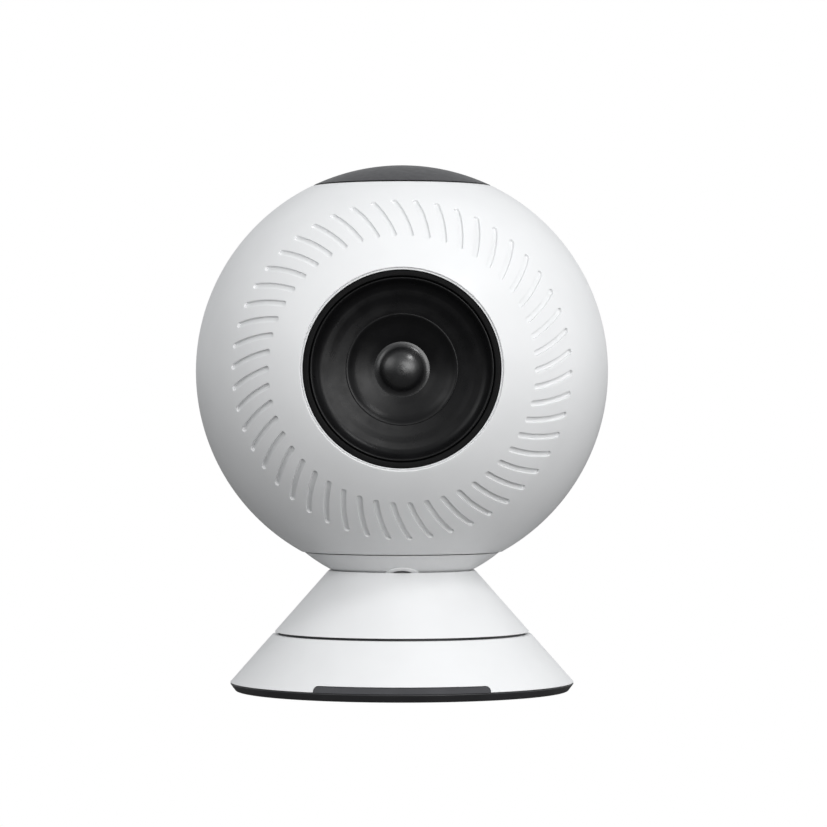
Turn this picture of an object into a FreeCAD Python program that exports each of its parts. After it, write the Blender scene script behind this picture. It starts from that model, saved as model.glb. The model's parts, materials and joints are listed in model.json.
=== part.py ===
import FreeCAD, Part
import math
import os
import re

# A smart speaker: a ball with one forward driver, on a stalk hidden between two cones.
# Z is up from the table, the front faces -Y, and lengths are millimetres.

DIMENSIONS = {
    # the ball
    "ball_radius": 65.0,
    "ball_height": 101.0,
    "shell_wall": 2.5,
    "parting_gap": 0.15,
    "cap_cut": 159.2,
    "cap_gap": 0.45,
    # the two cones under it
    "pad_radius": 46.0,
    "pad_thickness": 1.0,
    "plate_bottom": 0.5,
    "plate_radius": 52.5,
    "rim_radius": 54.2,
    "rim_height": 3.1,
    "seam_bottom": 18.2,
    "seam_top": 19.0,
    "cone_top_radius": 22.7,
    "cone_top_height": 38.8,
    "cone_wall": 3.2,
    "deck_top": 13.5,
    "deck_bottom": 11.5,
    "well_radius": 39.0,
    # the bowl that the ball tilts in
    "tilt_height": 81.8,
    "collar_seam": 44.1,
    "collar_radius": 48.7,
    "collar_wall": 2.5,
    "dish_radius": 49.25,
    "dish_wall": 2.2,
    "lip_radius": 49.1,
    "lip_half_width": 5.3,
    "slot_half_width": 3.7,
    "slot_end_angle": 24.9,
    "spigot_radius": 25.3,
    "spigot_bore": 24.0,
    # the neck between them
    "post_half_width": 3.5,
    "post_half_depth": 14.5,
    "post_top_half_depth": 8.0,
    "post_waist": 60.0,
    "post_shoulder": 41.0,
    "tilt_pin_radius": 3.0,
    "running_gap": 0.05,
    "spindle_radius": 8.0,
    "spindle_bore": 5.5,
    "pan_stop_radius": 33.0,
    "pan_stop_angle": 97.75,
    "plate_top": 20.8,
    # the window and the power socket in the lower cone
    "window_half_width": 27.0,
    "window_top": 5.1,
    "window_corner": 1.7,
    "facet_depth": 47.6,
    "socket_height": 7.15,
    "socket_half_width": 4.47,
    "socket_half_thickness": 1.63,
    # the driver in the ball
    "aperture_radius": 29.9,
    "mouth_groove_inner": 30.22,
    "mouth_groove_outer": 30.5,
    "trim_radius": 29.75,
    "trim_bore": 28.0,
    "trim_front": 56.68,
    "seat_front": 52.1,
    "flange_front": 51.5,
    "flange_back": 49.7,
    "flange_radius": 35.2,
    "driver_screw_circle": 33.1,
    "surround_front": 56.0,
    "surround_thickness": 0.5,
    "surround_lip": 27.2,
    "basin_front": 53.2,
    "basin_outer": 24.0,
    "basin_inner": 18.6,
    "surround_bore": 16.4,
    "diaphragm_radius": 17.6,
    "cone_neck": 47.9,
    "dome_radius": 7.6,
    "dome_centre": 44.3,
    "skirt_radius": 9.4,
    "coil_radius": 9.7,
    "can_radius": 30.6,
    "can_wall": 2.0,
    "magnet_radius": 23.0,
    "magnet_back": 14.5,
    "yoke_back": 11.5,
    "gap_front": 29.5,
    "gap_back": 26.5,
    # the swirl of grooves round the driver
    "groove_inner_angle": 39.0,
    "groove_outer_angle": 52.4,
    "groove_half_width": 0.86,
    "groove_depth": 0.85,
    "groove_phase": 4.6,
    "groove_sweep": 6.42,
    "groove_bow": 0.19,
    # screws and boards
    "screw_radius": 1.2,
    "screw_head_radius": 2.3,
    "screw_head_height": 1.5,
    "shell_screw_side": 46.0,
    "shell_screw_rise": 25.0,
    "board_front": 24.0,
    "board_thickness": 1.6,
}
GROOVE_COUNT = 50
BASE_SCREW_CIRCLE = 41.0
CONE_SCREW_CIRCLE = 30.0

doc = FreeCAD.newDocument("smart_speaker")
sheet = doc.addObject("Spreadsheet::Sheet", "dims")
for row, (alias, number) in enumerate(DIMENSIONS.items(), start=1):
    sheet.set(f"A{row}", alias)
    sheet.set(f"B{row}", str(number))
    sheet.setAlias(f"B{row}", alias)
doc.recompute()

UPRIGHT = FreeCAD.Rotation()
ALONG_X = FreeCAD.Rotation(FreeCAD.Vector(0, 1, 0), 90)
ALONG_Y = FreeCAD.Rotation(FreeCAD.Vector(1, 0, 0), -90)
CROSSWISE = FreeCAD.Rotation(FreeCAD.Vector(0, 0, 1), FreeCAD.Vector(1, 0, 0))
NODES = []


# ---------------------------------------------------------------- small tools


def formula(amount):
    """A size as an expression, in which each name of the sheet reads that cell."""
    def cell(word):
        return "dims." + word.group() if word.group() in DIMENSIONS else word.group()
    return re.sub(r"[a-z_]+", cell, str(amount))


def size(alias):
    """A number from the sheet, for the few shapes that Python works out."""
    return float(sheet.get(alias))


def solid(kind, sizes, x=0, y=0, z=0, turn=UPRIGHT):
    """One Part primitive whose sizes and place are bound to the sheet."""
    shape = doc.addObject("Part::" + kind, "form")
    shape.Placement = FreeCAD.Placement(FreeCAD.Vector(), turn)
    for name, amount in sizes.items():
        shape.setExpression(name, formula(amount))
    for letter, amount in zip("xyz", (x, y, z)):
        shape.setExpression("Placement.Base." + letter, formula(amount))
    return shape


def disc(radius, bottom, top, x=0, y=0):
    """An upright cylinder between two heights."""
    return solid("Cylinder", {"Radius": radius, "Height": f"({top}) - ({bottom})"}, x, y, bottom)


def rod(radius, front, back, x=0, z="ball_height"):
    """A cylinder along Y between two depths, on the ball's axis unless told otherwise."""
    sizes = {"Radius": radius, "Height": f"({back}) - ({front})"}
    return solid("Cylinder", sizes, x, front, z, ALONG_Y)


def axle(radius, left, right, y=0, z="tilt_height"):
    """A cylinder along X between two sides, on the tilt axis unless told otherwise."""
    return solid("Cylinder", {"Radius": radius, "Height": f"({right}) - ({left})"}, left, y, z, ALONG_X)


def block(left, right, front, back, bottom, top):
    """A box between six faces."""
    sizes = {
        "Length": f"({right}) - ({left})",
        "Width": f"({back}) - ({front})",
        "Height": f"({top}) - ({bottom})",
    }
    return solid("Box", sizes, left, front, bottom)


def ball(radius, height="ball_height"):
    """A sphere on the upright axis."""
    return solid("Sphere", {"Radius": radius}, z=height)


def ball_at(radius, depth):
    """A sphere on the driver's axis."""
    return solid("Sphere", {"Radius": radius}, 0, depth, "ball_height")


def frustum(low_radius, high_radius, bottom, top):
    """An upright cone between two heights."""
    sizes = {"Radius1": low_radius, "Radius2": high_radius, "Height": f"({top}) - ({bottom})"}
    return solid("Cone", sizes, z=bottom)


def horn(front_radius, back_radius, front, back):
    """A cone along Y on the driver's axis."""
    sizes = {"Radius1": front_radius, "Radius2": back_radius, "Height": f"({back}) - ({front})"}
    return solid("Cone", sizes, 0, front, "ball_height", ALONG_Y)


def fuse(*shapes):
    """One shape from several."""
    if len(shapes) == 1:
        return shapes[0]
    joined = doc.addObject("Part::MultiFuse", "joined")
    joined.Shapes = list(shapes)
    return joined


def cut(base, *tools):
    """The base without the tools."""
    left = doc.addObject("Part::Cut", "trimmed")
    left.Base = base
    left.Tool = fuse(*tools)
    return left


def both(first, second):
    """What two shapes share."""
    shared = doc.addObject("Part::Common", "shared")
    shared.Base = first
    shared.Tool = second
    return shared


def ring(outer, inner, bottom, top):
    """An upright washer."""
    return cut(disc(outer, bottom, top), disc(inner, bottom, top))


def ring_at(outer, inner, bottom, top, x, y):
    """An upright washer away from the axis."""
    return cut(disc(outer, bottom, top, x, y), disc(inner, bottom, top, x, y))


def collar_ring(outer, inner, front, back):
    """A washer round the driver's axis."""
    return cut(rod(outer, front, back), rod(inner, front, back))


def node(label, shape):
    """Name a finished sub-part."""
    shape.Label = label
    NODES.append(shape)
    return shape


def cone_radius(height):
    """The radius of the cones' common slope at a height."""
    slope = "(rim_radius - cone_top_radius) / (cone_top_height - rim_height)"
    return f"(rim_radius - (({height}) - rim_height) * {slope})"


def around(circle, angles):
    """Points on a circle about the upright axis, as x and y."""
    turns = [math.radians(angle) for angle in angles]
    return [(circle * math.cos(turn), circle * math.sin(turn)) for turn in turns]


def corners(side, rise, middle):
    """Four points of an upright rectangle, as x and z."""
    return [(f"{a} * ({side})", f"{middle} + {b} * ({rise})") for a in (-1, 1) for b in (-1, 1)]


# ---------------------------------------------------------------- base


def rounded_window(inset, front, back):
    """A flat-bottomed strip with two round upper corners, seen from the front."""
    edge = f"window_half_width - {inset}"
    top = f"window_top - {inset}"
    round_side = f"{edge} - window_corner"
    round_top = f"{top} - window_corner"
    low = block(f"-({edge})", edge, front, back, f"rim_height - 1 + {inset}", round_top)
    high = block(f"-({round_side})", round_side, front, back, "rim_height", top)
    turns = [rod("window_corner", front, back, f"{a} * ({round_side})", round_top) for a in (-1, 1)]
    return fuse(low, high, *turns)


def socket_outline(grow, front, back):
    """The socket's long round outline along Y."""
    side = "socket_half_width - socket_half_thickness"
    thick = f"socket_half_thickness + {grow}"
    middle = block(f"-({side})", side, front, back, f"socket_height - ({thick})", f"socket_height + {thick}")
    ends = [rod(thick, front, back, f"{a} * ({side})", "socket_height") for a in (-1, 1)]
    return fuse(middle, *ends)


def foot_pad():
    return node("foot_pad", disc("pad_radius", 0, "pad_thickness"))


def base_plate():
    plate = frustum("plate_radius", "rim_radius", "plate_bottom", "rim_height")
    recess = disc("pad_radius + 0.1", "plate_bottom", "pad_thickness")
    places = around(BASE_SCREW_CIRCLE, (45, 135, 225, 315))
    holes = [disc("screw_radius + 0.2", "plate_bottom", "rim_height", x, y) for x, y in places]
    sinks = [disc("screw_head_radius + 0.2", "plate_bottom", 2.5, x, y) for x, y in places]
    posts = [ring_at(2.2, 1, "rim_height", 3.9, x, 38) for x in (-9.5, 9.5)]
    rests = [block(x - 1.5, x + 1.5, -44, -40, "rim_height", 3.6) for x in (-9.5, 9.5)]
    return node("base_plate", fuse(cut(plate, recess, *holes, *sinks), *posts, *rests))


def lower_cone_outside():
    """The lower cone's outside, also used to trim what must not stand out of it."""
    return frustum(cone_radius("rim_height"), cone_radius("seam_bottom"), "rim_height", "seam_bottom")


def lower_cone():
    inner_low = cone_radius("rim_height") + " - cone_wall"
    inner_high = cone_radius("deck_bottom") + " - cone_wall"
    hollow = frustum(inner_low, inner_high, "rim_height", "deck_bottom")
    well = disc("well_radius", "deck_top", "seam_bottom")
    bearing = disc(11.5, "deck_bottom", "deck_top")
    shell = cut(lower_cone_outside(), hollow, well, bearing)
    backing = both(block(-9, 9, "facet_depth - 3", 52, "rim_height", "deck_bottom"), lower_cone_outside())
    places = around(BASE_SCREW_CIRCLE, (45, 135, 225, 315))
    bosses = [disc(3.2, "rim_height", "deck_bottom", x, y) for x, y in places]
    stop_angles = [90 + a * size("pan_stop_angle") for a in (-1, 1)]
    stops = [disc(2, "deck_bottom", 15.9, x, y) for x, y in around(size("pan_stop_radius"), stop_angles)]
    holes = [disc("screw_radius + 0.05", "rim_height", 10, x, y) for x, y in places]
    facet = block(-7.5, 7.5, "facet_depth", 56, 4.6, 9.8)
    mouth = socket_outline(0.12, "facet_depth - 4", "facet_depth + 1")
    window = rounded_window(0, -56, -38)
    return node("lower_cone", cut(fuse(shell, backing, *bosses, *stops), facet, mouth, window, *holes))


def front_window():
    skin_low = cone_radius("rim_height") + " - 0.12"
    skin_high = cone_radius("window_top") + " - 0.12"
    skin = frustum(skin_low, skin_high, "rim_height", "window_top")
    core = frustum(skin_low + " - 2", skin_high + " - 2", "rim_height", "window_top")
    return node("front_window", both(cut(skin, core), rounded_window(0.1, -56, -38)))


def base_screws():
    shafts = []
    for x, y in around(BASE_SCREW_CIRCLE, (45, 135, 225, 315)):
        shafts.append(disc("screw_head_radius", 1.1, 2.5, x, y))
        shafts.append(disc("screw_radius", 2.4, 9, x, y))
    return node("base_screws", fuse(*shafts))


def ballast_plate():
    return node("ballast_plate", ring(34, 15, "rim_height", 9))


def power_board():
    board = block(-12, 12, 36, 44.2, 3.9, 5.5)
    holes = [disc(1.3, 3.9, 5.5, x, 38) for x in (-9.5, 9.5)]
    chip = block(-3, 3, 36.5, 40, 5.5, 6.6)
    node("power_board", fuse(cut(board, *holes), chip))
    heads = [disc(1.9, 5.5, 6.6, x, 38) for x in (-9.5, 9.5)]
    shafts = [disc(0.95, "rim_height", 5.6, x, 38) for x in (-9.5, 9.5)]
    node("power_board_screws", fuse(*heads, *shafts))


def socket():
    front = "facet_depth - 6.8"
    back = "facet_depth - 0.2"
    shell = cut(socket_outline(0, front, back), socket_outline(-0.3, front + " + 0.4", back))
    node("socket_shell", shell)
    tongue = block(-3.3, 3.3, front + " + 0.4", back + " - 0.8",
                   "socket_height - 0.35", "socket_height + 0.35")
    node("socket_tongue", tongue)


def sensor_board():
    node("sensor_board", block(-12, 12, -45, -38, 3.6, 4.6))
    node("infrared_receiver", block(-2.2, 2.2, -47, -44, 4.6, 7))
    node("status_light", fuse(*[block(x - 0.8, x + 0.8, -45, -43.6, 4.6, 5.3) for x in (-8, 8)]))


def pan_bush():
    tube = ring(11.45, "spindle_radius + running_gap", 10.5, "deck_top")
    flange = ring(14, "spindle_radius + running_gap", "deck_top", 14.3)
    return node("pan_bush", fuse(tube, flange))


def build_base():
    foot_pad()
    base_plate()
    lower_cone()
    front_window()
    base_screws()
    ballast_plate()
    power_board()
    socket()
    sensor_board()
    pan_bush()


# ---------------------------------------------------------------- turntable


def post_outline(grow, bottom, top):
    """The neck's long round outline, upright."""
    half = f"post_half_width + {grow}"
    middle = "post_half_depth - post_half_width"
    body = block(f"-({half})", half, f"-({middle})", middle, bottom, top)
    ends = [disc(half, bottom, top, 0, f"{a} * ({middle})") for a in (-1, 1)]
    return fuse(body, *ends)


def turntable_plate():
    disc_low = disc("well_radius - 0.4", 16.4, "seam_top")
    spigot = disc(35.3, "seam_top", "plate_top")
    hub = disc(13, 14.35, 16.4)
    lug = disc(2, 13.9, 16.5, 0, "pan_stop_radius")
    bore = disc("spindle_radius", 14.35, "plate_top")
    places = around(CONE_SCREW_CIRCLE, (45, 135, 225, 315))
    holes = [disc("screw_radius + 0.2", 16.4, "plate_top", x, y) for x, y in places]
    sinks = [disc("screw_head_radius + 0.2", 16.4, 18, x, y) for x, y in places]
    taps = [disc("screw_radius + 0.05", 17.5, "plate_top", x, y) for x, y in post_screw_places()]
    return node("turntable_plate", cut(fuse(disc_low, spigot, hub, lug), bore, *holes, *sinks, *taps))


def post_screw_places():
    return [(x, y) for x in (-10.5, 10.5) for y in (-7, 7)]


def upper_cone():
    outer = frustum(cone_radius("seam_top"), cone_radius("cone_top_height"), "seam_top", "cone_top_height")
    inner_low = cone_radius("seam_top") + " - cone_wall"
    inner_high = cone_radius("cone_top_height") + " - cone_wall"
    inside = frustum(inner_low, inner_high, "seam_top", "cone_top_height")
    hollow = cut(inside, ball("dish_radius + dish_wall", "tilt_height"))
    places = around(CONE_SCREW_CIRCLE, (45, 135, 225, 315))
    bosses = [disc(3, "plate_top", 29, x, y) for x, y in places]
    trim = frustum(cone_radius("seam_top"), cone_radius("cone_top_height"), "seam_top", "cone_top_height")
    holes = [disc("screw_radius + 0.05", "plate_top", 26, x, y) for x, y in places]
    shell = fuse(cut(outer, hollow), both(fuse(*bosses), trim))
    dish = ball("dish_radius", "tilt_height")
    return node("upper_cone", cut(shell, dish, post_outline(0.3, 25, 45), *holes))


def cone_screws():
    shafts = []
    for x, y in around(CONE_SCREW_CIRCLE, (45, 135, 225, 315)):
        shafts.append(disc("screw_head_radius", 16.5, 18, x, y))
        shafts.append(disc("screw_radius", 17.9, 25.5, x, y))
    return node("cone_screws", fuse(*shafts))


def pan_spindle():
    node("pan_spindle", ring("spindle_radius", "spindle_bore", 8, "plate_top"))
    node("pan_wave_washer", ring(11, "spindle_radius + 0.1", 9.95, 10.45))
    node("pan_retainer", ring(11.3, "spindle_radius", 8.6, 9.95))


def waisted_blade():
    """The upper neck, narrow at the tilt axis and wide where it meets the bowl's slot."""
    wide = size("post_half_depth")
    slim = size("post_top_half_depth")
    shoulder = size("post_shoulder")
    waist = size("post_waist")
    axis = size("tilt_height")
    half = size("post_half_width")
    outline = [(-wide, shoulder), (-slim, waist), (-slim, axis),
               (slim, axis), (slim, waist), (wide, shoulder)]
    wire = Part.makePolygon([FreeCAD.Vector(-half, y, z) for y, z in outline + outline[:1]])
    shape = doc.addObject("Part::Feature", "waisted_blade")
    shape.Shape = Part.Face(wire).extrude(FreeCAD.Vector(2 * half, 0, 0))
    return shape


def neck_post():
    foot = disc(17, "plate_top", 23.8)
    stalk = post_outline(0, "plate_top", "post_shoulder")
    boss = axle("post_top_half_depth", "-post_half_width", "post_half_width")
    bore = axle("tilt_pin_radius + running_gap", "-post_half_width - 1", "post_half_width + 1")
    channel = disc(1.8, "plate_top", 64, 0, 2)
    outlet = rod(1.8, 2, 12, 0, 62)
    holes = [disc("screw_radius + 0.2", "plate_top", 23.8, x, y) for x, y in post_screw_places()]
    body = fuse(foot, stalk, waisted_blade(), boss)
    return node("neck_post", cut(body, bore, channel, outlet, *holes))


def post_screws():
    shafts = []
    for x, y in post_screw_places():
        shafts.append(disc("screw_head_radius", 23.8, "23.8 + screw_head_height", x, y))
        shafts.append(disc("screw_radius", 17.8, 23.9, x, y))
    return node("post_screws", fuse(*shafts))


def neck_harness():
    rise = disc(1.4, 6, 62, 0, 2)
    bend = solid("Sphere", {"Radius": 1.4}, 0, 2, 62)
    run = rod(1.4, 2, 11, 0, 62)
    return node("neck_harness", fuse(rise, bend, run))


def build_turntable():
    turntable_plate()
    upper_cone()
    cone_screws()
    pan_spindle()
    neck_post()
    post_screws()
    neck_harness()


# ---------------------------------------------------------------- head: bowl and hinge


def slot_form(half_width, reach):
    """The bowl's long slot with round ends, as a wedge about the tilt axis."""
    sizes = {"Radius": reach, "Height": f"2 * ({half_width})", "Angle": "2 * slot_end_angle"}
    sweep = FreeCAD.Rotation(FreeCAD.Vector(1, 0, 0), -size("slot_end_angle"))
    sector = solid("Cylinder", sizes, f"-({half_width})", 0, "tilt_height", sweep.multiply(CROSSWISE))
    ends = []
    for way in (-1, 1):
        lean = FreeCAD.Rotation(FreeCAD.Vector(1, 0, 0), 180 + way * size("slot_end_angle"))
        ends.append(solid("Cylinder", {"Radius": half_width, "Height": reach}, z="tilt_height", turn=lean))
    return fuse(sector, *ends)


def bracket_screw_places():
    return [(x, y) for x in (-16, 16) for y in (-5, 5)]


def collar():
    below = block(-60, 60, -60, 60, 20, "collar_seam")
    outside = ball("collar_radius", "tilt_height")
    bowl = cut(both(outside, below), ball("collar_radius - collar_wall", "tilt_height"))
    top = cut(both(disc(40, 41.6, "collar_seam"), ball("collar_radius", "tilt_height")),
              disc("spigot_bore", 40, 50))
    spigot = ring("spigot_radius", "spigot_bore", 43, 49.4)
    bead = ring("spigot_radius + 1", "spigot_bore", 47.4, 49)
    pads = fuse(*[block(x, x + 15, -9.2, 9.2, 30, "collar_seam") for x in (-25, 10)])
    solid_pads = both(pads, ball("collar_radius", "tilt_height"))
    lip = both(slot_form("lip_half_width", 60), ball("lip_radius", "tilt_height"))
    raised = cut(lip, ball("collar_radius - 1", "tilt_height"))
    body = fuse(bowl, top, spigot, bead, solid_pads, raised)
    holes = [disc(1.6, 30, "collar_seam", x, y) for x, y in bracket_screw_places()]
    sinks = [disc(3, 30, 39, x, y) for x, y in bracket_screw_places()]
    return node("collar", cut(body, slot_form("slot_half_width", 70), *holes, *sinks))


def tilt_bracket():
    feet = fuse(*[block(x, x + 16.6, -8.5, 8.5, "collar_seam", 46.6) for x in (-21.5, 4.9)])
    ears = fuse(*[block(x, x + 3, -8.5, 8.5, "collar_seam", "tilt_height") for x in (-7.9, 4.9)])
    tops = fuse(*[axle(8.5, x, x + 3) for x in (-7.9, 4.9)])
    bore = axle("tilt_pin_radius", -10, 10)
    taps = [disc(1.5, "collar_seam", 46.6, x, y) for x, y in bracket_screw_places()]
    return node("tilt_bracket", cut(fuse(feet, ears, tops), bore, *taps))


def tilt_pin_parts():
    pin = fuse(axle("tilt_pin_radius", -10.5, 12), axle(5, -12.5, -10.3))
    node("tilt_pin", pin)
    washers = [cut(axle(7, x, x + 1.3), axle("tilt_pin_radius + 0.1", x, x + 1.3)) for x in (-4.9, 3.6)]
    node("tilt_washers", fuse(*washers))
    springs = [cut(axle(6, x, x + 2.3), axle("tilt_pin_radius + 0.1", x, x + 2.3)) for x in (-10.3, 7.95)]
    node("tilt_spring_washers", fuse(*springs))
    hexagon = {"Polygon": 6, "Circumradius": 5.4, "Height": 1.7}
    flats = solid("Prism", hexagon, 10.3, 0, "tilt_height", ALONG_X)
    node("tilt_nut", cut(flats, axle("tilt_pin_radius", 10, 13)))


def bracket_screws():
    shafts = []
    for x, y in bracket_screw_places():
        shafts.append(disc(2.8, 37.2, 39, x, y))
        shafts.append(disc(1.45, 38.9, 46.6, x, y))
    return node("bracket_screws", fuse(*shafts))


# ---------------------------------------------------------------- head: shells


def groove_path(along):
    """A unit vector to the groove's middle line, from its inner end at 0 to its outer end at 1."""
    inner = size("groove_inner_angle")
    lean = math.radians(inner + along * (size("groove_outer_angle") - inner))
    bowed = along - 4 * size("groove_bow") / size("groove_sweep") * along * (1 - along)
    turn = math.radians(size("groove_phase") + size("groove_sweep") * (1 - bowed))
    return FreeCAD.Vector(math.sin(lean) * math.sin(turn), -math.cos(lean), math.sin(lean) * math.cos(turn))


def groove_cutter():
    """One bent, round-ended groove, cut square to the ball at its middle."""
    radius = size("ball_radius")
    half = size("groove_half_width")
    step = 0.01

    def station(along, side, ahead):
        here = groove_path(along)
        tangent = groove_path(along + step) - groove_path(along - step)
        tangent.normalize()
        return here * radius + here.cross(tangent) * (side * half) + tangent * (ahead * half)

    normal = groove_path(0.5)
    middle = normal * radius
    spots = [(0, -1, 0), (0.5, -1, 0), (1, -1, 0), (1, 0, 1), (1, 1, 0), (0.5, 1, 0), (0, 1, 0), (0, 0, -1)]
    bent = [station(*spot) for spot in spots]
    flat = [point - normal * (point - middle).dot(normal) for point in bent]
    arcs = [(0, 1, 2), (2, 3, 4), (4, 5, 6), (6, 7, 0)]
    wire = Part.Wire([Part.Arc(*[flat[i] for i in arc]).toShape() for arc in arcs])
    deep = wire.translated(normal * -5)
    return Part.Face(deep).extrude(normal * 9)


def grooves():
    """Every groove of the swirl, as the thin bites that leave the outer skin."""
    centre = FreeCAD.Vector(0, 0, size("ball_height"))
    floor = Part.makeSphere(size("ball_radius") - size("groove_depth"))
    bite = groove_cutter().cut(floor)
    bites = []
    for turn in range(GROOVE_COUNT):
        copy = bite.copy()
        copy.rotate(FreeCAD.Vector(), FreeCAD.Vector(0, 1, 0), turn * 360 / GROOVE_COUNT)
        copy.translate(centre)
        bites.append(copy)
    shape = doc.addObject("Part::Feature", "grooves")
    shape.Shape = Part.makeCompound(bites)
    return shape


def hull():
    """The whole ball's wall, open at the collar and under the cap."""
    wall = cut(ball("ball_radius"), ball("ball_radius - shell_wall"))
    between = block(-80, 80, -80, 80, "collar_seam", "cap_cut")
    flange = cut(both(disc(40, "collar_seam", 47.1), ball("ball_radius - 1")),
                 disc("spigot_radius + 0.2", 40, 50))
    return fuse(both(wall, between), flange)


def shell_bosses(front, back):
    places = corners("shell_screw_side", "shell_screw_rise", "ball_height")
    return [both(rod(4.2, front, back, x, z), ball("ball_radius - 1")) for x, z in places]


def front_shell():
    half = both(hull(), block(-80, 80, -80, 0, 0, 200))
    seat = both(rod(37.5, -60, "-flange_front"), ball("ball_radius - 0.5"))
    band = block(-80, 80, 0, 2.5, 50, 152)
    tongue = both(cut(ball("ball_radius - shell_wall - 0.15"), ball("ball_radius - shell_wall - 1.6")), band)
    root_band = block(-80, 80, -2.5, 0, 50, 152)
    root = both(cut(ball("ball_radius - 1"), ball("ball_radius - shell_wall - 1.6")), root_band)
    body = fuse(half, seat, tongue, root, *shell_bosses(-50, 0))
    mouth = rod("aperture_radius", -80, -40)
    bevel = horn("aperture_radius + 1", "aperture_radius", -58.2, -57.2)
    edge_line = collar_ring("mouth_groove_outer", "mouth_groove_inner", -60, "-trim_front")
    places = corners("shell_screw_side", "shell_screw_rise", "ball_height")
    shell_holes = [rod(1.5, -12, 1, x, z) for x, z in places]
    driver_holes = [rod("screw_radius + 0.05", -54.4, -50, x, z) for x, z in driver_screw_places()]
    return node("front_shell", cut(body, mouth, bevel, edge_line, grooves(), *shell_holes, *driver_holes))


def driver_screw_places():
    return corners("driver_screw_circle * cos(45)", "driver_screw_circle * sin(45)", "ball_height")


def board_screw_places():
    return corners(31, 21, 105)


def rear_shell():
    half = both(hull(), block(-80, 80, "parting_gap", 80, 0, 200))
    posts = [both(rod(3, "board_front + board_thickness", 60, x, z), ball("ball_radius - 1"))
             for x, z in board_screw_places()]
    body = fuse(half, *posts, *shell_bosses("parting_gap", 50))
    places = corners("shell_screw_side", "shell_screw_rise", "ball_height")
    holes = [rod(1.7, 0, 11, x, z) for x, z in places]
    sinks = [rod(3.6, 10, 70, x, z) for x, z in places]
    relief = both(cut(ball("ball_radius - shell_wall + 0.001"), ball(50)), block(-80, 80, 0, 2.8, 49, 153))
    taps = [rod("screw_radius + 0.05", 20, 33, x, z) for x, z in board_screw_places()]
    return node("rear_shell", cut(body, relief, *holes, *sinks, *taps))


def shell_screws():
    shafts = []
    for x, z in corners("shell_screw_side", "shell_screw_rise", "ball_height"):
        shafts.append(rod(1.45, -11, 10.1, x, z))
        shafts.append(rod(2.9, 10, 12, x, z))
    return node("shell_screws", fuse(*shafts))


def screw_plugs():
    places = corners("shell_screw_side", "shell_screw_rise", "ball_height")
    plugs = [both(rod(3.5, 34, 45, x, z), ball("ball_radius - 0.15")) for x, z in places]
    return node("screw_plugs", fuse(*plugs))


def cap_parts():
    dome = both(ball("ball_radius"), disc(40, "cap_cut + cap_gap", 170))
    spigot = disc(20.5, 156.6, "cap_cut + cap_gap + 0.2")
    hollow = both(ball("ball_radius - 2"), disc(18.6, 150, 170))
    node("top_cap", cut(fuse(dome, spigot), hollow))
    node("touch_board", disc(18.3, 158.6, 159.8))
    microphones = [block(x - 1.5, x + 1.5, y - 1, y + 1, 159.8, 160.8)
                   for x, y in around(13, range(45, 360, 90))]
    node("microphones", fuse(*microphones))
    lights = [block(x - 0.8, x + 0.8, y - 0.8, y + 0.8, 159.8, 160.4)
              for x, y in around(6, range(0, 360, 60))]
    node("touch_lights", fuse(*lights))


def build_head():
    collar()
    tilt_bracket()
    tilt_pin_parts()
    bracket_screws()
    front_shell()
    rear_shell()
    shell_screws()
    screw_plugs()
    cap_parts()


# ---------------------------------------------------------------- head: driver


def trim_ring():
    body = rod("trim_radius", "-trim_front", "-flange_front")
    mouth = rod("trim_bore", "-trim_front", "-flange_front")
    chamfer = cut(rod("trim_radius + 1", "-trim_front - 1", "-trim_front + 0.15"),
                  horn("trim_radius - 1.15", "trim_radius", "-trim_front - 1", "-trim_front + 0.15"))
    return node("trim_ring", cut(body, mouth, chamfer))


def basket():
    flange = rod("flange_radius", "-flange_front", "-flange_back")
    skirt = horn("can_radius - can_wall - 0.5", 21, "-flange_back", -31)
    inside = horn("can_radius - can_wall - 1.7", 19.8, "-flange_back", -31)
    throat = rod(25.5, "-flange_front", "-flange_back")
    ledge = both(collar_ring(25, 21, -37.7, -36.7),
                 horn("can_radius - can_wall - 0.5", 21, "-flange_back", -31))
    back = rod(21, -31, "-gap_front")
    bore = rod(11.5, -31, "-gap_front")
    slits = []
    for turn in range(3):
        lean = FreeCAD.Rotation(FreeCAD.Vector(0, 1, 0), turn * 60)
        slits.append(leaning_slab(9, -48, -38.5, lean))
    frame = fuse(cut(skirt, inside, *slits), ledge)
    holes = [rod("screw_radius + 0.2", "-flange_front", "-flange_back", x, z)
             for x, z in driver_screw_places()]
    return node("basket", cut(fuse(cut(flange, throat), frame, cut(back, bore)), *holes))


def leaning_slab(width, front, back, lean):
    """A box through the driver's axis, turned about it."""
    slab = doc.addObject("Part::Box", "slab")
    slab.setExpression("Length", formula(80))
    slab.setExpression("Width", formula(f"({back}) - ({front})"))
    slab.setExpression("Height", formula(width))
    corner = lean.multVec(FreeCAD.Vector(-40, front, -width / 2))
    slab.Placement = FreeCAD.Placement(corner + FreeCAD.Vector(0, 0, size("ball_height")), lean)
    return slab


def driver_screws():
    shafts = []
    for x, z in driver_screw_places():
        shafts.append(rod("screw_radius", -54.2, "-flange_back + 0.1", x, z))
        shafts.append(rod("screw_head_radius", "-flange_back", "-flange_back + screw_head_height", x, z))
    return node("driver_screws", fuse(*shafts))


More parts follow.
